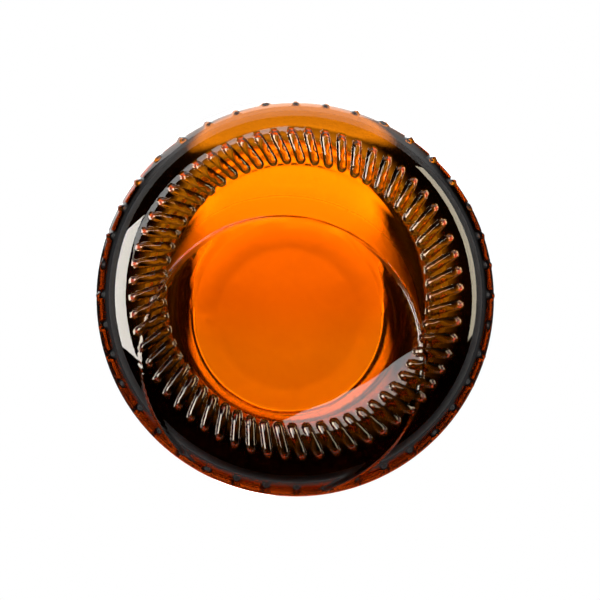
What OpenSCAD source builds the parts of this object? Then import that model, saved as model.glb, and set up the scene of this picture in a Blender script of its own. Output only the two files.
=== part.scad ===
// Round glass milk bottle with a knurled base, closed by a domed lid that a wire bail and
// lever hold down. Millimetres, +Z up, base on z = 0, closure axis along X, lever in front (-Y).

/* [Bottle] */
// Outer radius of the body
body_radius = 39; // [38.5:0.25:39.5]
// Height at which the straight wall ends and the shoulder begins
body_top = 94; // [90:1:98]
// Outer radius of the neck
neck_radius = 22.5; // [22.4:0.05:22.5]
// Wall thickness of the glass
wall = 3; // [2.6:0.1:3.4]
// Radius of the rounded heel
heel_radius = 9; // [8.5:0.25:9.5]
// Depth of the hollow under the base
push_up_depth = 4.5; // [3.5:0.25:5]

/* [Base pattern] */
// Number of knurls on the bearing ring
knurl_count = 60; // [48:1:60]
// Slant of each knurl from the radial line, in degrees
knurl_slant = 20; // [10:1:25]
// Width of each knurl
knurl_width = 1.7; // [1.2:0.1:1.7]
// Height of each knurl below the base
knurl_height = 0.8; // [0.6:0.1:0.9]
// Radius of the off-centre mould seam
seam_radius = 27; // [26:0.5:27.5]
// Number of raised marks around the heel
mark_count = 40; // [24:4:40]

/* [Closure] */
// Radius of the closure wire
wire_radius = 1.1; // [1:0.05:1.1]
// Radial clearance of a wire turning in an eye
eye_clearance = 0.06; // [0.04:0.01:0.09]
// Distance from the lever pivot to the bail eye
crank = 6.5; // [6.4:0.05:6.6]
// Height of the dome on the lid
dome_height = 11; // [10.5:0.25:11]
// Thickness of the rubber gasket
gasket_thickness = 2.5; // [2.2:0.1:2.8]

/* [Hidden] */
$fn = 96;

glass_color = [0.72, 0.33, 0.03, 0.75];
rubber_color = [0.56, 0.12, 0.06];
wire_color = [0.62, 0.63, 0.62];

// Base
base_z = knurl_height;
heel_center_r = body_radius - heel_radius;
heel_center_z = base_z + heel_radius;
push_up_edge = 27.5;
push_up_radius = (pow(push_up_edge, 2) + pow(push_up_depth, 2)) / (2 * push_up_depth);
push_up_center_z = base_z + push_up_depth - push_up_radius;
floor_thickness = 4.8;
inner_heel_radius = 20;
inner_floor_z = 7;
knurl_mid_radius = 28.4;
knurl_length = 6.7;
knurl_root = 1.2;
seam_center = [-2.6, 11.2];
seam_width = 0.5;
seam_height = 0.3;
seam_top = 6.4;
mark_angle = 26;
mark_height = 0.35;
mark_length = 3.2;
mark_width = 1;
mark_sink = 0.4;
dot_radius = 0.85;
marks_per_group = 4;

// Shoulder, as two tangent arcs
shoulder_radius = 34;
cove_radius = 50;
shoulder_center_r = body_radius - shoulder_radius;
cove_center_r = neck_radius + cove_radius;
arc_span = shoulder_radius + cove_radius;
arc_offset = cove_center_r - shoulder_center_r;
arc_angle = acos(arc_offset / arc_span);
shoulder_top = body_top + sqrt(pow(arc_span, 2) - pow(arc_offset, 2));
tangent_r = shoulder_center_r + shoulder_radius * cos(arc_angle);
tangent_z = body_top + shoulder_radius * sin(arc_angle);

// Neck finish
pivot_z = shoulder_top + 24;
collar_radius = 25;
collar_bottom = pivot_z + 4.2;
lip_top = pivot_z + 14;
collar_top_round = 2.5;
collar_bottom_round = 2;
mouth_radius = 18;
throat_bottom = pivot_z - 4;
throat_top = pivot_z + 2;

// Wires
ring_radius = neck_radius + 0.7;
groove_clearance = 0.05;
eye_radius = 2 * wire_radius + eye_clearance;
neck_eye_x = 24.9;
lever_pin_x = 24.6;
lever_x = 27.9;
bail_x = 30.6;
bail_head_x = 25.7;
head_length = 0.8;
head_radius = 1.9;
crank_angle = 82;
eye_y = crank * cos(crank_angle);
eye_z = pivot_z - crank * sin(crank_angle);
handle_y = -30;
handle_z = pivot_z - 21;
handle_reach = norm([handle_y - eye_y, handle_z - eye_z]);
handle_turn = 90 + atan2(eye_z - handle_z, eye_y - handle_y);
corner_radius = 8;

// Lid
flange_bottom = lip_top + gasket_thickness;
flange_thickness = 3.5;
flange_radius = 24;
flange_top = flange_bottom + flange_thickness;
dome_foot = 17;
dome_top = flange_top + dome_height;
dome_radius = (pow(dome_foot, 2) + pow(dome_height, 2)) / (2 * dome_height);
dome_center_z = dome_top - dome_radius;
lid_wall = 4;
boss_radius = 17.2;
boss_bottom = lip_top - 1.2;
gasket_inner = 18.6;
gasket_outer = 22.3;
gasket_round = 0.9;
bail_gap = 0.5;
bail_reach = dome_top + bail_gap + wire_radius - eye_z;

// Solid outline of the base and lower body, grown outward by a skin thickness.
module base_skin(grow) {
    difference() {
        rotate_extrude() {
            translate([0, base_z - grow]) square([heel_center_r, heel_radius + grow]);
            intersection() {
                translate([heel_center_r, heel_center_z]) circle(r = heel_radius + grow);
                translate([heel_center_r, base_z - grow])
                    square([heel_radius + grow, heel_radius + grow]);
            }
        }
        translate([0, 0, push_up_center_z]) sphere(r = push_up_radius - grow, $fn = 180);
    }
}

// Half profile of the outside from the heel to the lip.
module upper_outline() {
    translate([0, heel_center_z]) square([body_radius, body_top - heel_center_z]);
    intersection() {
        translate([shoulder_center_r, body_top]) circle(r = shoulder_radius);
        translate([0, body_top]) square([body_radius, tangent_z - body_top]);
    }
    difference() {
        translate([0, tangent_z]) square([tangent_r, shoulder_top - tangent_z]);
        translate([cove_center_r, shoulder_top]) circle(r = cove_radius, $fn = 180);
    }
    translate([0, shoulder_top]) square([neck_radius, lip_top - shoulder_top]);
    translate([0, collar_bottom + collar_bottom_round])
        square([collar_radius, lip_top - collar_top_round - collar_bottom - collar_bottom_round]);
    translate([collar_radius - collar_top_round, lip_top - collar_top_round])
        circle(r = collar_top_round);
    translate([collar_radius - collar_bottom_round, collar_bottom + collar_bottom_round])
        circle(r = collar_bottom_round);
}

// Half profile of the hollow inside.
module inner_outline() {
    inner_radius = body_radius - wall;
    inner_corner = inner_radius - inner_heel_radius;
    throat = neck_radius - wall;
    shoulder_inner = shoulder_radius - wall;
    cove_inner = cove_radius + wall;
    inner_tangent_r = shoulder_center_r + shoulder_inner * cos(arc_angle);
    inner_tangent_z = body_top + shoulder_inner * sin(arc_angle);
    translate([0, inner_floor_z]) square([inner_corner, inner_heel_radius]);
    intersection() {
        translate([inner_corner, inner_floor_z + inner_heel_radius]) circle(r = inner_heel_radius);
        translate([inner_corner, inner_floor_z]) square([inner_heel_radius, inner_heel_radius]);
    }
    translate([0, inner_floor_z + inner_heel_radius])
        square([inner_radius, body_top - inner_floor_z - inner_heel_radius]);
    intersection() {
        translate([shoulder_center_r, body_top]) circle(r = shoulder_inner);
        translate([0, body_top]) square([inner_radius, inner_tangent_z - body_top]);
    }
    difference() {
        translate([0, inner_tangent_z]) square([inner_tangent_r, shoulder_top - inner_tangent_z]);
        translate([cove_center_r, shoulder_top]) circle(r = cove_inner, $fn = 180);
    }
    translate([0, shoulder_top]) square([throat, throat_bottom - shoulder_top]);
    polygon([
        [0, throat_bottom],
        [throat, throat_bottom],
        [mouth_radius, throat_top],
        [0, throat_top]
    ]);
    translate([0, throat_top]) square([mouth_radius, lip_top + 1 - throat_top]);
}

// Ring of slanted, round-ended knurls that the bottle stands on.
module knurls() {
    straight = knurl_length - knurl_width;
    linear_extrude(height = knurl_height + knurl_root)
        for (i = [0 : knurl_count - 1])
            rotate(i * 360 / knurl_count) translate([knurl_mid_radius, 0]) rotate(-knurl_slant) {
                square([straight, knurl_width], center = true);
                translate([straight / 2, 0]) circle(d = knurl_width, $fn = 24);
                translate([-straight / 2, 0]) circle(d = knurl_width, $fn = 24);
            }
}

// Off-centre ridge left by the blank mould.
module seam() {
    intersection() {
        base_skin(seam_height);
        translate([seam_center.x, seam_center.y, 0]) difference() {
            cylinder(r = seam_radius + seam_width / 2, h = seam_top);
            translate([0, 0, -1]) cylinder(r = seam_radius - seam_width / 2, h = seam_top + 2);
        }
    }
}

// Plain raised bars and dots around the heel.
module marks() {
    for (i = [0 : mark_count - 1])
        rotate([0, 0, i * 360 / mark_count])
            translate([heel_center_r, 0, heel_center_z]) rotate([0, 90 + mark_angle, 0])
                translate([0, 0, heel_radius - mark_sink])
                    if (i % marks_per_group == 1)
                        cylinder(r = dot_radius, h = mark_sink + mark_height, $fn = 24);
                    else
                        translate([-mark_length / 2, -mark_width / 2, 0])
                            cube([mark_length, mark_width, mark_sink + mark_height]);
}

module wire_ring(radius) {
    rotate_extrude() translate([radius, 0]) circle(r = wire_radius, $fn = 32);
}

// U-shaped wire loop in the XZ plane: two arms and a crossbar joined by rounded corners.
module wire_loop(half_width, start, reach) {
    for (side = [0, 1])
        mirror([side, 0, 0]) {
            translate([half_width, 0, start])
                cylinder(r = wire_radius, h = reach - corner_radius - start, $fn = 32);
            translate([half_width - corner_radius, 0, reach - corner_radius]) rotate([90, 0, 0])
                rotate_extrude(angle = 90) translate([corner_radius, 0])
                    circle(r = wire_radius, $fn = 32);
        }
    translate([corner_radius - half_width, 0, reach]) rotate([0, 90, 0])
        cylinder(r = wire_radius, h = 2 * (half_width - corner_radius), $fn = 32);
}

// Short wire pin along X that ends in a rounded elbow at its outer end.
module wire_pin(inner_x, outer_x) {
    translate([inner_x, 0, 0]) rotate([0, 90, 0])
        cylinder(r = wire_radius, h = outer_x - inner_x, $fn = 32);
    translate([outer_x, 0, 0]) sphere(r = wire_radius, $fn = 32);
}

module bottle() {
    color(glass_color) difference() {
        union() {
            base_skin(0);
            rotate_extrude() upper_outline();
            knurls();
            seam();
            marks();
        }
        difference() {
            rotate_extrude() inner_outline();
            translate([0, 0, push_up_center_z])
                sphere(r = push_up_radius + floor_thickness, $fn = 180);
        }
        translate([0, 0, pivot_z]) rotate_extrude()
            translate([ring_radius, 0]) circle(r = wire_radius + groove_clearance, $fn = 32);
    }
}

module neck_wire() {
    color(wire_color) translate([0, 0, pivot_z]) {
        wire_ring(ring_radius);
        for (side = [0, 1])
            mirror([side, 0, 0]) translate([neck_eye_x, 0, 0]) rotate([0, 90, 0])
                wire_ring(eye_radius);
    }
}

module gasket() {
    color(rubber_color) translate([0, 0, lip_top]) rotate_extrude() {
        translate([gasket_inner, 0]) square([gasket_outer - gasket_round - gasket_inner, gasket_thickness]);
        translate([gasket_outer - gasket_round, gasket_round])
            square([gasket_round, gasket_thickness - 2 * gasket_round]);
        translate([gasket_outer - gasket_round, gasket_round]) circle(r = gasket_round, $fn = 24);
        translate([gasket_outer - gasket_round, gasket_thickness - gasket_round])
            circle(r = gasket_round, $fn = 24);
    }
}

module lid() {
    color(glass_color) rotate_extrude() difference() {
        union() {
            translate([0, boss_bottom]) square([boss_radius, flange_bottom - boss_bottom]);
            translate([0, flange_bottom]) square([flange_radius - flange_thickness / 2, flange_thickness]);
            translate([flange_radius - flange_thickness / 2, flange_bottom + flange_thickness / 2])
                circle(r = flange_thickness / 2, $fn = 32);
            intersection() {
                translate([0, dome_center_z]) circle(r = dome_radius);
                translate([0, flange_top]) square([dome_foot, dome_height]);
            }
        }
        intersection() {
            translate([0, dome_center_z]) circle(r = dome_radius - lid_wall);
            translate([0, dome_center_z]) square(dome_radius);
        }
        translate([0, boss_bottom - 1])
            square([dome_radius - lid_wall, dome_center_z - boss_bottom + 1]);
    }
}

module lever() {
    color(wire_color) {
        for (side = [0, 1])
            mirror([side, 0, 0]) {
                translate([0, 0, pivot_z]) wire_pin(lever_pin_x, lever_x);
                translate([lever_x, 0, pivot_z]) rotate([90 + crank_angle, 0, 0])
                    cylinder(r = wire_radius, h = crank - eye_radius, $fn = 32);
                translate([lever_x, eye_y, eye_z]) rotate([0, 90, 0]) wire_ring(eye_radius);
            }
        translate([0, eye_y, eye_z]) rotate([handle_turn, 0, 0])
            wire_loop(lever_x, eye_radius, handle_reach);
    }
}

module bail() {
    color(wire_color) translate([0, eye_y, eye_z]) {
        for (side = [0, 1])
            mirror([side, 0, 0]) {
                wire_pin(bail_head_x, bail_x);
                translate([bail_head_x, 0, 0]) rotate([0, 90, 0])
                    cylinder(r = head_radius, h = head_length, $fn = 32);
            }
        wire_loop(bail_x, 0, bail_reach);
    }
}

bottle();
neck_wire();
gasket();
lid();
lever();
bail();
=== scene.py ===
import math

import bpy
import numpy as np
from mathutils import Matrix, Vector


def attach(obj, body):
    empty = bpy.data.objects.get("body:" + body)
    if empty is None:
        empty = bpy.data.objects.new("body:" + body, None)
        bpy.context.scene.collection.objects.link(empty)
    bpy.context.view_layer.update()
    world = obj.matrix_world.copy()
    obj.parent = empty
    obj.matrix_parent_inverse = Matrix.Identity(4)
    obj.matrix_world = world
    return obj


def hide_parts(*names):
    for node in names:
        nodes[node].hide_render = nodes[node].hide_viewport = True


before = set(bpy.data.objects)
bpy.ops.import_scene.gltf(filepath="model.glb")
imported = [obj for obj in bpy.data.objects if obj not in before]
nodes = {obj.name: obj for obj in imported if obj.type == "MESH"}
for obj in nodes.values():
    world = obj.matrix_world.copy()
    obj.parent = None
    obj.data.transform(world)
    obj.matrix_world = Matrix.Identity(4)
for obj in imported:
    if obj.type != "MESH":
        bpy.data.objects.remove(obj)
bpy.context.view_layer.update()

MM = 0.001

# ---------------------------------------------------------------- sizes, millimetres
BODY_R, NECK_R, WALL = 39.0, 22.5, 3.0
BASE_Z, HEEL_R = 0.8, 9.0
HEEL_C = (BODY_R - HEEL_R, BASE_Z + HEEL_R)
PUSH_EDGE, PUSH_DEPTH = 27.5, 4.5
PUSH_R = (PUSH_EDGE ** 2 + PUSH_DEPTH ** 2) / (2 * PUSH_DEPTH)
PUSH_CZ = BASE_Z + PUSH_DEPTH - PUSH_R
SHOULDER_C, SHOULDER_R = (5.0, 94.0), 34.0
COVE_C, COVE_R = (72.5, 143.9975), 50.0
ARC = math.acos((COVE_C[0] - SHOULDER_C[0]) / (SHOULDER_R + COVE_R))
LIP = 181.9975
BORE_R, MOUTH_R = 19.5, 18.0

# Knurls: slanted ribs with round ends in a ring on the base.
KNURLS, SLANT = 60, math.radians(20)
KNURL_MID, KNURL_HALF_LEN, KNURL_HALF_W, KNURL_HEIGHT = 28.4, 3.35, 0.88, 0.79
KNURL_INNER, KNURL_OUTER = 24.8, 32.5

# Ridge left by the blank mould: a circle off the bottle's axis.
SEAM_C, SEAM_R, SEAM_HEIGHT, SEAM_WIDTH = (-2.6, 11.9), 26.9, 0.42, 0.26
SEAM_END, SEAM_FADE = 37.4, 1.2

# Raised bars and dots round the heel; every fourth one is a dot.
MARKS, MARK_ANGLE, MARK_HEIGHT, DOT_EVERY = 40, math.radians(-26), 0.33, 4
BAR_HALF_LEN, BAR_HALF_W, DOT_R = 1.6, 0.5, 0.85

# Bowl inside the bottom: off the axis, and wider at the front.
FLOOR_THICK = 4.8
BOWL_C, BOWL_R, BOWL_END, BOWL_POINTS = (16.0, 27.0), 20.0, -84, 36
FLOOR_SHIFT, FLOOR_FLAT, FLOOR_END = (-1.6, 4.6), 16.0, 34.0
FRONT_WIDEN, FRONT_MID, FRONT_SPREAD = 4.5, 26.5, 6.0

# Lid: a dome over a flange, with a plug in the mouth.
DOME_EDGE_R, DOME_RISE, DOME_TOP, LID_WALL = 17, 11, 198.9975, 4

# Points round a ring; each count divides the next larger one.
DENSE, FINE, MIDDLE, COARSE = 1440, 720, 360, 120


# ---------------------------------------------------------------- geometry helpers
def arc(cx, cz, r, a0, a1, n):
    """Points on an arc in the (radius, height) plane, angles in degrees from +radius."""
    return [(cx + r * math.cos(math.radians(a)), cz + r * math.sin(math.radians(a)))
            for a in np.linspace(a0, a1, n)]


def smooth01(t):
    t = np.clip(t, 0, 1)
    return t * t * (3 - 2 * t)


def rise(x, start, width):
    """0 up to start, 1 from start + width on."""
    return smooth01((x - start) / width)


def fall(x, start, width):
    """1 up to start, 0 from start + width on."""
    return 1 - rise(x, start, width)


def bridge(faces, a, na, b, nb):
    """Faces between ring a (na points) and ring b (nb points); one count divides the other."""
    if na == nb:
        for i in range(na):
            j = (i + 1) % na
            faces.append((a + i, a + j, b + j, b + i))
        return
    if na > nb:
        k = na // nb
        for i in range(nb):
            j = (i + 1) % nb
            ring = [a + (i * k + m) % na for m in range(k + 1)]
            half = k // 2
            for m in range(half):
                faces.append((ring[m], ring[m + 1], b + i))
            faces.append((ring[half], b + j, b + i))
            for m in range(half, k):
                faces.append((ring[m], ring[m + 1], b + j))
        return
    k = nb // na
    for i in range(na):
        j = (i + 1) % na
        ring = [b + (i * k + m) % nb for m in range(k + 1)]
        half = k // 2
        for m in range(half):
            faces.append((a + i, ring[m + 1], ring[m]))
        faces.append((a + i, a + j, ring[half]))
        for m in range(half, k):
            faces.append((a + j, ring[m + 1], ring[m]))


def angles(n, shift=0.0):
    return np.arange(n) * 2 * math.pi / n + shift


def add_ring(verts, rings, th, r, z):
    """A ring of points at angles th; r and z are numbers or have a value for each angle."""
    rings.append((len(verts), len(th)))
    for t, a, b in zip(th, np.broadcast_to(r, th.shape), np.broadcast_to(z, th.shape)):
        verts.append((a * math.cos(t) * MM, a * math.sin(t) * MM, b * MM))


def skin_object(name, verts, rings, material):
    """A closed smooth mesh: the first point, the rings in turn, the last point."""
    faces = []
    start, n = rings[0]
    for i in range(n):
        faces.append((0, start + i, start + (i + 1) % n))
    for (a, na), (b, nb) in zip(rings, rings[1:]):
        bridge(faces, b, nb, a, na)
    start, n = rings[-1]
    for i in range(n):
        faces.append((len(verts) - 1, start + (i + 1) % n, start + i))
    co = np.array(verts, float)
    volume = sum(float(np.dot(co[f[0]], np.cross(co[f[i]], co[f[i + 1]])))
                 for f in faces for i in range(1, len(f) - 1))
    if volume < 0:
        faces = [tuple(reversed(f)) for f in faces]
    me = bpy.data.meshes.new(name)
    me.from_pydata([tuple(v) for v in verts], [], faces)
    me.update()
    me.polygons.foreach_set("use_smooth", [True] * len(me.polygons))
    me.materials.append(material)
    ob = bpy.data.objects.new(name, me)
    bpy.context.scene.collection.objects.link(ob)
    return ob


# ---------------------------------------------------------------- bottle
def base_height(r):
    """Underside of the plain base at radius r, up to the widest point of the heel."""
    if r <= PUSH_EDGE:
        return PUSH_CZ + math.sqrt(PUSH_R ** 2 - r * r)
    if r <= HEEL_C[0]:
        return BASE_Z
    return HEEL_C[1] - math.sqrt(max(0.0, HEEL_R ** 2 - (r - HEEL_C[0]) ** 2))


def knurl_relief(r, th):
    """Height of the knurls over the base (0 to 1) and how near a point is to a knurl's flank."""
    pitch = 2 * math.pi / KNURLS
    height = np.zeros(th.shape)
    flank = np.zeros(th.shape)
    nearest = np.round(th / pitch + 0.02 * (r - KNURL_MID))
    for step in (-1, 0, 1):
        centre = (nearest + step) * pitch
        x = r * np.cos(th - centre) - KNURL_MID
        y = r * np.sin(th - centre)
        along = x * math.cos(SLANT) - y * math.sin(SLANT)
        across = x * math.sin(SLANT) + y * math.cos(SLANT)
        past_end = np.maximum(np.abs(along) - (KNURL_HALF_LEN - KNURL_HALF_W), 0)
        d = np.hypot(past_end, across) / KNURL_HALF_W
        height = np.maximum(height, np.sqrt(np.clip(1 - d ** 2, 0, 1)) ** 0.9)
        flank = np.maximum(flank, rise(d, 0.50, 0.30) * fall(d, 1.02, 0.16))
    return height, flank


def seam_relief(r, th):
    """Off-centre ridge left by the blank mould; it fades out near the widest radius."""
    x, y = r * np.cos(th) - SEAM_C[0], r * np.sin(th) - SEAM_C[1]
    d = np.hypot(x, y) - SEAM_R
    return SEAM_HEIGHT * np.exp(-(d / SEAM_WIDTH) ** 2) * fall(r, SEAM_END, SEAM_FADE)


def marks_relief(r, z, th):
    """Plain raised bars and dots round the heel."""
    if r < HEEL_C[0] or z > HEEL_C[1]:
        return np.zeros(len(th))
    pitch = 2 * math.pi / MARKS
    along = (math.atan2(z - HEEL_C[1], r - HEEL_C[0]) - MARK_ANGLE) * HEEL_R
    i = np.round(th / pitch)
    across = (th - i * pitch) * r
    bar = np.maximum(np.abs(along) / BAR_HALF_LEN, np.abs(across) / BAR_HALF_W)
    dot = np.hypot(along, across) / DOT_R
    d = np.where((i.astype(int) % DOT_EVERY) == 1, dot, bar)
    return MARK_HEIGHT * fall(d, 0.7, 0.6)


def knurl_rows():
    """Radius and height of the fine rows, from inside the knurl ring to the top of the heel."""
    radii = np.r_[np.linspace(14.9, 24.4, 54), np.linspace(24.6, HEEL_C[0], 20)]
    rows = [(r, base_height(r)) for r in radii]
    return np.array(rows + arc(*HEEL_C, HEEL_R, -90, 0, 31)[1:])


def outside_profile():
    """Wall, shoulder, neck, wire groove, finish and lip, upwards."""
    turn = math.degrees(ARC)
    points = [(BODY_R, 10.2)] + [(BODY_R, z) for z in np.linspace(14, SHOULDER_C[1], 8)]
    points += arc(*SHOULDER_C, SHOULDER_R, 0, turn, 16)[1:]
    points += arc(*COVE_C, COVE_R, 180 + turn, 180, 16)[1:]
    points += [(NECK_R, z) for z in np.linspace(147, 165.9, 6)]
    points += arc(23.2, 167.9975, 1.15, 232, 128, 9)
    points += [(NECK_R, 169.6), (NECK_R, 170.8)]
    points += arc(23.6, 171.1, 1.1, 180, 90, 6)[1:]
    points += arc(23.0, 174.2, 2.0, -75, 0, 9)
    points += [(25.0, 176.5)]
    points += arc(22.5, LIP - 2.5, 2.5, 0, 90, 12)
    points += arc(19.4, LIP - 1.4, 1.4, 90, 180, 8)
    return points


def bore_profile():
    """Mouth, bore, inside of the shoulder and inside of the wall, downwards."""
    turn = math.degrees(ARC)
    points = [(MOUTH_R, 176.0), (MOUTH_R, 170.0), (18.4, 168.0), (19.1, 165.0), (BORE_R, 162.0)]
    points += [(BORE_R, z) for z in np.linspace(158, 146, 5)]
    points += arc(*COVE_C, COVE_R + WALL, 180, 180 + turn, 14)
    points += arc(*SHOULDER_C, SHOULDER_R - WALL, turn, 0, 12)[1:]
    points += [(BODY_R - WALL, z) for z in np.linspace(88, 30, 6)]
    return points


def floor_profile():
    """Bowl at the inner heel and domed floor, inwards."""
    floor_r = PUSH_R + FLOOR_THICK
    dome = [(r, PUSH_CZ + math.sqrt(floor_r ** 2 - r * r)) for r in np.linspace(14.6, 1.2, 12)]
    return arc(*BOWL_C, BOWL_R, 0, BOWL_END, BOWL_POINTS) + dome


def shift_floor(verts, start, r):
    """Move a ring of the bowl, of radius r and from verts[start] on, off the axis."""
    share = fall(r, FLOOR_FLAT, FLOOR_END - FLOOR_FLAT)
    bulge = math.exp(-((r - FRONT_MID) / FRONT_SPREAD) ** 2)
    for k in range(start, len(verts)):
        x, y, z = verts[k]
        front = max(0.0, -y / (r * MM)) * bulge
        verts[k] = (x + FLOOR_SHIFT[0] * share * MM,
                    y + (FLOOR_SHIFT[1] * share - FRONT_WIDEN * front) * MM, z)


def set_mask(ob, name, values):
    """Store a value from 0 to 1 for each vertex, for the glass material."""
    attribute = ob.data.attributes.new(name, "FLOAT", "POINT")
    attribute.data.foreach_set("value", values.astype(np.float32))


def glass_masks(ob, verts, floor_start, flank_rows):
    """Where the inner floor is cloudy, where the base gets painted light and where the glass gets
    painted shade.
    """
    x, y, z = (np.array(verts) / MM).T
    radius = np.hypot(x, y)
    front_to_back = y / np.maximum(radius, 1.0)
    past_seam = np.hypot(x - SEAM_C[0], y - SEAM_C[1]) - SEAM_R

    # cloudy: a disc inside the mould ridge and a crescent outside it
    fx, fy = x - FLOOR_SHIFT[0], y - FLOOR_SHIFT[1]
    floor_radius = np.hypot(fx, fy)
    disc_edge = 17.6 + 4.4 * np.clip(-fy / np.maximum(floor_radius, 1.0), 0, 1)
    disc = fall(floor_radius, disc_edge, 1.2) * fall(past_seam, -0.6, 1.2)
    crescent = (rise(past_seam, -0.6, 1.2) * fall(past_seam, 0.0, 9.5)
                * fall(floor_radius, 25.0, 3.0))
    cloudy = 0.12 + 0.88 * np.maximum(disc, 0.8 * crescent)
    cloudy[:floor_start] = 0
    set_mask(ob, "inner_floor", cloudy)

    # painted light: the tint goes lighter and yellower on the crescent, and on the disc towards
    # the back, standing in for light that comes through the glass
    painted_light = rise(past_seam, 0.0, 0.5) * (0.05 + 0.95 * rise(past_seam, 0.0, 12.0))
    painted_light *= fall(radius, 28.0, 2.5)
    painted_light = np.maximum(painted_light, rise(y, -1.0, 15.0) * fall(radius, 24.0, 2.0))
    painted_light *= fall(z, 16.0, 2.0)
    set_mask(ob, "painted_light_base", painted_light)

    # painted shade: the tint goes near black on the heel but for its front, on the front rim, on
    # the ribs behind and on all rib flanks, standing in for shade and for the dark outlines of the
    # ribs
    heel = rise(radius, 34.5, 2.0) * fall(z, 8.0, 3.0) * rise(front_to_back, -0.85, 0.45)
    front_rim = rise(radius, 30.5, 2.5) * fall(z, 8.0, 3.0) * rise(-front_to_back, 0.30, 0.50)
    back_ribs = rise(radius, 25.0, 2.5) * fall(z, 5.0, 4.0) * rise(front_to_back, -0.20, 0.60)
    painted_shade = np.maximum(np.maximum(heel, 0.86 * front_rim), back_ribs)
    for start, flank in flank_rows:
        part = slice(start, start + len(flank))
        painted_shade[part] = np.maximum(painted_shade[part], 0.96 * flank)
    set_mask(ob, "painted_shade_heel", painted_shade)


def bottle():
    verts, rings, flank_rows = [(0, 0, (PUSH_CZ + PUSH_R) * MM)], [], []
    for r in np.linspace(1.2, 14.0, 10):
        add_ring(verts, rings, angles(COARSE), r, base_height(r))

    # knurl ring and heel: rows that lean with the knurls, lifted along the outward normal
    rows = knurl_rows()
    tangents = np.gradient(rows, axis=0)
    tangents /= np.hypot(tangents[:, 0], tangents[:, 1])[:, None]
    for (r, z), (tangent_r, tangent_z) in zip(rows, tangents):
        nr, nz = tangent_z, -tangent_r
        count = MIDDLE if r < 24.5 else DENSE if r < 32.6 else FINE
        shear = (-(np.clip(r, KNURL_INNER, KNURL_OUTER) - KNURL_MID) * math.tan(SLANT)
                 / max(r, KNURL_INNER))
        th = angles(count, shear)
        rib, flank = knurl_relief(r, th)
        lift = KNURL_HEIGHT * rib + marks_relief(r, z, th) + seam_relief(r, th)
        if nz < -0.2:  # nothing goes below the resting plane
            lift = np.minimum(lift, z / -nz)
        flank_rows.append((len(verts), flank))
        add_ring(verts, rings, th, r + nr * lift, z + nz * lift)

    for r, z in outside_profile() + bore_profile():
        add_ring(verts, rings, angles(COARSE), r, z)
    floor_start = len(verts)
    for r, z in floor_profile():
        start = len(verts)
        add_ring(verts, rings, angles(COARSE), r, z)
        if z < BOWL_C[1]:
            shift_floor(verts, start, r)
    floor_top = PUSH_CZ + PUSH_R + FLOOR_THICK
    verts.append((FLOOR_SHIFT[0] * MM, FLOOR_SHIFT[1] * MM, floor_top * MM))

    ob = skin_object("bottle_glass", verts, rings, glass)
    glass_masks(ob, verts, floor_start, flank_rows)
    return ob


# ---------------------------------------------------------------- lid
def lid():
    dome_r = (DOME_EDGE_R ** 2 + DOME_RISE ** 2) / (2 * DOME_RISE)
    dome_z = DOME_TOP - dome_r
    foot = math.degrees(math.atan2(DOME_TOP - DOME_RISE - dome_z, DOME_EDGE_R))
    profile = arc(0, dome_z, dome_r, 89.0, foot + 2, 24)
    profile += arc(22.25, 186.2475, 1.75, 90, -90, 12)
    profile += [(17.4, 184.4975), (17.2, 184.2), (17.2, 181.2), (16.8, 180.85), (15.2, 180.85)]
    profile += arc(0, dome_z, dome_r - LID_WALL, 2, 88.5, 22)
    verts, rings = [(0, 0, (dome_z + dome_r) * MM)], []
    for r, z in profile:
        add_ring(verts, rings, angles(COARSE), r, z)
    verts.append((0, 0, (dome_z + dome_r - LID_WALL) * MM))
    return skin_object("lid_glass", verts, rings, glass)


# ---------------------------------------------------------------- shader helpers
def add(tree, kind, inputs=None, **settings):
    """A shader node; each input is a constant or the output socket that feeds it."""
    node = tree.nodes.new("ShaderNode" + kind)
    for key, value in settings.items():
        setattr(node, key, value)
    for key, value in (inputs or {}).items():
        if isinstance(value, bpy.types.NodeSocket):
            tree.links.new(value, node.inputs[key])
        else:
            node.inputs[key].default_value = value
    return node


def maths(tree, operation, *values, **settings):
    return add(tree, "Math", dict(enumerate(values)), operation=operation, **settings).outputs[0]


def mix_colours(tree, factor, a, b):
    node = add(tree, "Mix", {"Factor": factor, "A": a, "B": b}, data_type="RGBA")
    return next(o for o in node.outputs if o.type == "RGBA")


def fade(tree, value, start, end, low=0.0, high=1.0):
    """Low at start, high at end, with a smooth step between."""
    inputs = {"Value": value, "From Min": start, "From Max": end, "To Min": low, "To Max": high}
    return add(tree, "MapRange", inputs, interpolation_type="SMOOTHSTEP").outputs["Result"]


def colour_ramp(tree, factor, stops):
    """A ramp through (position, colour) stops; the first two are its ends."""
    node = add(tree, "ValToRGB", {"Fac": factor})
    elements = node.color_ramp.elements
    for i, (position, colour) in enumerate(stops):
        element = elements[i] if i < 2 else elements.new(position)
        element.position, element.color = position, colour
    return node.outputs["Color"]


def noise(tree, scale, detail):
    """Noise in the object's own coordinates."""
    place = add(tree, "TexCoord").outputs["Object"]
    inputs = {"Vector": place, "Scale": scale, "Detail": detail}
    return add(tree, "TexNoise", inputs).outputs["Fac"]


def mask(tree, name):
    return add(tree, "Attribute", attribute_name=name).outputs["Fac"]


def new_material(name):
    material = bpy.data.materials.new(name)
    material.use_nodes = True
    return material, material.node_tree


# ---------------------------------------------------------------- materials
GLASS_TINT = (1.0, 0.40, 0.03, 1)
# painted light and painted shade: a lighter and a near-black colour that the glass tint is mixed
# towards
PAINTED_LIGHT_TINT = (1.0, 0.54, 0.04, 1)
PAINTED_SHADE_TINT = (0.04, 0.014, 0.003, 1)
GLASS_IOR = 1.5
ABSORB_COLOUR, ABSORB_DENSITY = (0.70, 0.56, 0.0, 1), 150.0
INSIDE_ROUGH, INSIDE_WAVE, INSIDE_SCALE, INSIDE_DETAIL = 0.58, 0.0004, 90.0, 3.0
OUTSIDE_WAVE, OUTSIDE_SCALE, OUTSIDE_DETAIL = 0.00012, 55.0, 1.5


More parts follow.
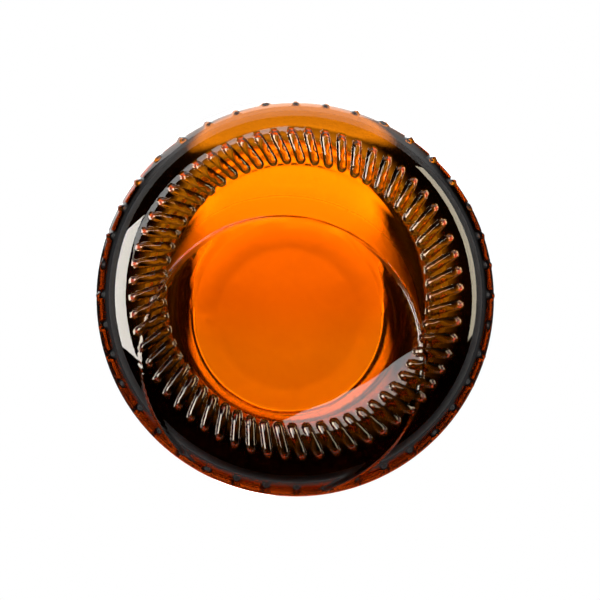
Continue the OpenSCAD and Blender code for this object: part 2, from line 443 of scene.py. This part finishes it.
def glass_material():
    """Amber glass with painted light and painted shade in its tint: faint waves all over, and a
    rough, rippled inner floor.
    """
    material, tree = new_material("amber_glass")
    tree.nodes.clear()
    # painted light and painted shade: vertex masks lighten and darken the glass tint
    tint_with_painted_light_and_shade = mix_colours(tree, mask(tree, "painted_light_base"), GLASS_TINT, PAINTED_LIGHT_TINT)
    tint_with_painted_light_and_shade = mix_colours(tree, mask(tree, "painted_shade_heel"), tint_with_painted_light_and_shade, PAINTED_SHADE_TINT)
    cloudy = mask(tree, "inner_floor")
    waves = maths(tree, "MULTIPLY", noise(tree, OUTSIDE_SCALE, OUTSIDE_DETAIL), OUTSIDE_WAVE)
    height = maths(tree, "MULTIPLY_ADD", noise(tree, INSIDE_SCALE, INSIDE_DETAIL),
                   maths(tree, "MULTIPLY", cloudy, INSIDE_WAVE), waves)
    bump = add(tree, "Bump", {"Distance": 1.0, "Height": height})
    surface = add(tree, "BsdfPrincipled", {
        "Base Color": tint_with_painted_light_and_shade, "IOR": GLASS_IOR, "Transmission Weight": 1.0,
        "Roughness": maths(tree, "MULTIPLY", cloudy, INSIDE_ROUGH),
        "Normal": bump.outputs["Normal"]})
    volume = add(tree, "VolumeAbsorption", {"Color": ABSORB_COLOUR, "Density": ABSORB_DENSITY})
    add(tree, "OutputMaterial", {"Surface": surface.outputs["BSDF"],
                                 "Volume": volume.outputs["Volume"]})
    return material


def wire_material():
    """Steel wire with dull, darker patches."""
    material, tree = new_material("closure_wire")
    patches = noise(tree, 240.0, 5.0)
    colour = colour_ramp(tree, patches, [(0.3, (0.30, 0.29, 0.27, 1)),
                                         (0.62, (0.62, 0.62, 0.60, 1))])
    rough = add(tree, "MapRange", {"Value": patches, "To Min": 0.22, "To Max": 0.5})
    surface = tree.nodes["Principled BSDF"]
    surface.inputs["Metallic"].default_value = 1.0
    tree.links.new(colour, surface.inputs["Base Color"])
    tree.links.new(rough.outputs["Result"], surface.inputs["Roughness"])
    return material


def rubber_material():
    """Mottled red rubber."""
    material, tree = new_material("gasket_rubber")
    colour = colour_ramp(tree, noise(tree, 320.0, 4.0), [(0.0, (0.20, 0.035, 0.015, 1)),
                                                         (1.0, (0.36, 0.075, 0.035, 1))])
    surface = tree.nodes["Principled BSDF"]
    surface.inputs["Roughness"].default_value = 0.6
    tree.links.new(colour, surface.inputs["Base Color"])
    return material


glass = glass_material()
wire = wire_material()
rubber = rubber_material()

# ---------------------------------------------------------------- pieces
bottle_ob = bottle()
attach(bottle_ob, "bottle")
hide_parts("bottle")

lid_ob = lid()
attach(lid_ob, "lid")
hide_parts("lid")

for name, mat, sl in (("gasket", rubber, "rubber"), ("neck_wire", wire, "wire"),
                      ("lever", wire, "wire"), ("bail", wire, "wire")):
    nodes[name].data.materials.clear()
    nodes[name].data.materials.append(mat)

# ---------------------------------------------------------------- floor
FLOOR_HALF = 3
FLOOR_COLOUR, FLOOR_ROUGH = (0.85, 0.85, 0.84, 1), 0.9
CLEAR_RADIUS = 0.041
# painted light: a pool of amber light on the floor under and round the bottle
PAINTED_POOL_COLOUR, PAINTED_POOL_STRENGTH, PAINTED_POOL_EDGE, PAINTED_POOL_FULL = (1.0, 0.62, 0.28, 1), 0.30, 0.040, 0.020


def floor_material():
    """Pale floor: one-sided, clear to mirrored rays near the bottle, with a faint painted pool of
    amber light round the bottle.
    """
    material, tree = new_material("floor")
    place = add(tree, "NewGeometry")
    ray = add(tree, "LightPath")
    distance = add(tree, "VectorMath", {0: place.outputs["Position"]},
                   operation="LENGTH").outputs["Value"]
    near = maths(tree, "LESS_THAN", distance, CLEAR_RADIUS)
    mirrored = maths(tree, "SUBTRACT", ray.outputs["Is Glossy Ray"],
                     ray.outputs["Is Transmission Ray"], use_clamp=True)
    clear = maths(tree, "MAXIMUM", place.outputs["Backfacing"],
                  maths(tree, "MULTIPLY", near, mirrored))
    surface = tree.nodes["Principled BSDF"]
    surface.inputs["Base Color"].default_value = FLOOR_COLOUR
    surface.inputs["Roughness"].default_value = FLOOR_ROUGH
    # painted light: the floor glows amber under and round the bottle, standing in for light
    # through the glass
    surface.inputs["Emission Color"].default_value = PAINTED_POOL_COLOUR
    tree.links.new(fade(tree, distance, PAINTED_POOL_EDGE, PAINTED_POOL_FULL, high=PAINTED_POOL_STRENGTH),
                   surface.inputs["Emission Strength"])
    through = add(tree, "BsdfTransparent").outputs["BSDF"]
    mix = add(tree, "MixShader", {0: clear, 1: surface.outputs["BSDF"], 2: through})
    tree.links.new(mix.outputs["Shader"], tree.nodes["Material Output"].inputs["Surface"])
    return material


floor_me = bpy.data.meshes.new("floor")
floor_me.from_pydata([(x * FLOOR_HALF, y * FLOOR_HALF, 0)
                      for x, y in ((-1, -1), (1, -1), (1, 1), (-1, 1))], [], [(0, 1, 2, 3)])
floor_me.materials.append(floor_material())
floor = bpy.data.objects.new("floor", floor_me)
bpy.context.scene.collection.objects.link(floor)
floor.visible_shadow = False

# ---------------------------------------------------------------- studio
# A patch of light overhead, where the weighted direction scores high, a softer one in front
# and a pale band at the horizon. The camera itself sees plain white.
UP_WEIGHT, BACK_WEIGHT, SIDE_WEIGHT = 0.9, -0.8, -0.75
SCORE_STOPS = [(0.55, (0.006, 0.006, 0.007, 1)), (0.98, (4.4, 4.4, 4.4, 1)),
               (0.80, (0.02, 0.02, 0.02, 1)), (0.90, (5.2, 5.2, 5.2, 1))]
OVERHEAD_START, OVERHEAD_END = 0.56, 0.74
FRONT_START, FRONT_END, FRONT_LOW, FRONT_HIGH = 0.60, 0.85, 0.004, 1.1
HORIZON_START, HORIZON_END, HORIZON_LEVEL = 0.30, 0.08, 0.35
ABOVE_EDGE = 0.05
WHITE = (1.0, 1.0, 1.0, 1)

world = bpy.data.worlds.new("studio")
bpy.context.scene.world = world
world.use_nodes = True
sky = world.node_tree
sky.nodes.clear()
direction = add(sky, "SeparateXYZ", {0: add(sky, "TexCoord").outputs["Generated"]})
dx, dy, dz = direction.outputs
score = maths(sky, "MULTIPLY", dz, UP_WEIGHT)
score = maths(sky, "MULTIPLY_ADD", dy, BACK_WEIGHT, score)
score = maths(sky, "MULTIPLY_ADD", maths(sky, "ABSOLUTE", dx), SIDE_WEIGHT, score)
overhead = add(sky, "VectorMath", {0: colour_ramp(sky, score, SCORE_STOPS),
                                   "Scale": fade(sky, dz, OVERHEAD_START, OVERHEAD_END)},
               operation="SCALE")
front = fade(sky, maths(sky, "MULTIPLY", dy, -1.0), FRONT_START, FRONT_END, FRONT_LOW, FRONT_HIGH)
above = add(sky, "MapRange", {"Value": dz, "From Min": -ABOVE_EDGE, "From Max": ABOVE_EDGE})
band = fade(sky, maths(sky, "ABSOLUTE", dz), HORIZON_START, HORIZON_END, high=HORIZON_LEVEL)
low_light = maths(sky, "MULTIPLY_ADD", front, above.outputs["Result"], band)
total = add(sky, "VectorMath", {0: overhead.outputs[0], 1: low_light}, operation="ADD")
seen = add(sky, "LightPath").outputs["Is Camera Ray"]
background = add(sky, "Background", {"Color": mix_colours(sky, seen, total.outputs[0], WHITE)})
add(sky, "OutputWorld", {"Surface": background.outputs["Background"]})


def area(name, loc, long_axis, long_size, short_size, radiance, color=(1, 1, 1)):
    """A rectangular light that faces the base; long_axis is the direction of its long side."""
    light = bpy.data.lights.new(name, "AREA")
    light.shape, light.size, light.size_y = "RECTANGLE", long_size, short_size
    light.color = color
    light.energy = radiance * math.pi * long_size * short_size
    z = Vector(loc).normalized()
    x = Vector(long_axis)
    x = (x - x.dot(z) * z).normalized()
    y = z.cross(x)
    ob = bpy.data.objects.new(name, light)
    ob.matrix_world = Matrix(((x.x, y.x, z.x, loc[0]), (x.y, y.y, z.y, loc[1]),
                              (x.z, y.z, z.z, loc[2]), (0, 0, 0, 1)))
    bpy.context.scene.collection.objects.link(ob)
    ob.visible_transmission = False


def aim(polar, azimuth, dist):
    """A point seen from the base: polar from straight down, azimuth from +X to +Y, degrees."""
    p, q = math.radians(polar), math.radians(azimuth)
    return (dist * math.sin(p) * math.cos(q), dist * math.sin(p) * math.sin(q),
            -dist * math.cos(p))


# in the photograph's view, image right is +X and image up is -Y
area("strip_left", aim(58, 188, 0.62), (0, 1, 0), 0.42, 0.36, 17, (1.0, 0.94, 0.86))
area("strip_right", aim(67, -20, 0.60), (0.34, 0.94, 0), 0.60, 0.18, 9, (1.0, 0.88, 0.66))
area("key_above", (-0.20, -0.80, 0.80), (1, 0, 0), 1.30, 1.10, 1.6)
area("soft_push_up", aim(34, -122, 0.60), (0.866, -0.5, 0), 0.46, 0.13, 5.0)

# ---------------------------------------------------------------- camera
# under the base, a little off the axis, looking up
TILT, LEAN, DIST = math.radians(5.5), math.radians(1.5), 0.40
LENS, SENSOR, CLIP_START = 125.3, 36, 0.01

eye = Vector((-math.sin(LEAN) * DIST, math.sin(TILT) * DIST, -math.cos(TILT) * DIST))
target = Vector((0.0006, 0.0015, 0.0))
back = (eye - target).normalized()
right = Vector((1, 0, 0))
right = (right - right.dot(back) * back).normalized()
up = back.cross(right)
camera = bpy.data.cameras.new("camera")
camera.lens, camera.sensor_width, camera.clip_start = LENS, SENSOR, CLIP_START
cam = bpy.data.objects.new("camera", camera)
cam.matrix_world = Matrix((
    (right.x, up.x, back.x, eye.x),
    (right.y, up.y, back.y, eye.y),
    (right.z, up.z, back.z, eye.z),
    (0, 0, 0, 1)))
bpy.context.scene.collection.objects.link(cam)
bpy.context.scene.camera = cam

sc = bpy.context.scene
sc.view_settings.view_transform = "Standard"
sc.cycles.max_bounces = 24
sc.cycles.transmission_bounces = 24
sc.cycles.glossy_bounces = 12
sc.cycles.transparent_max_bounces = 16
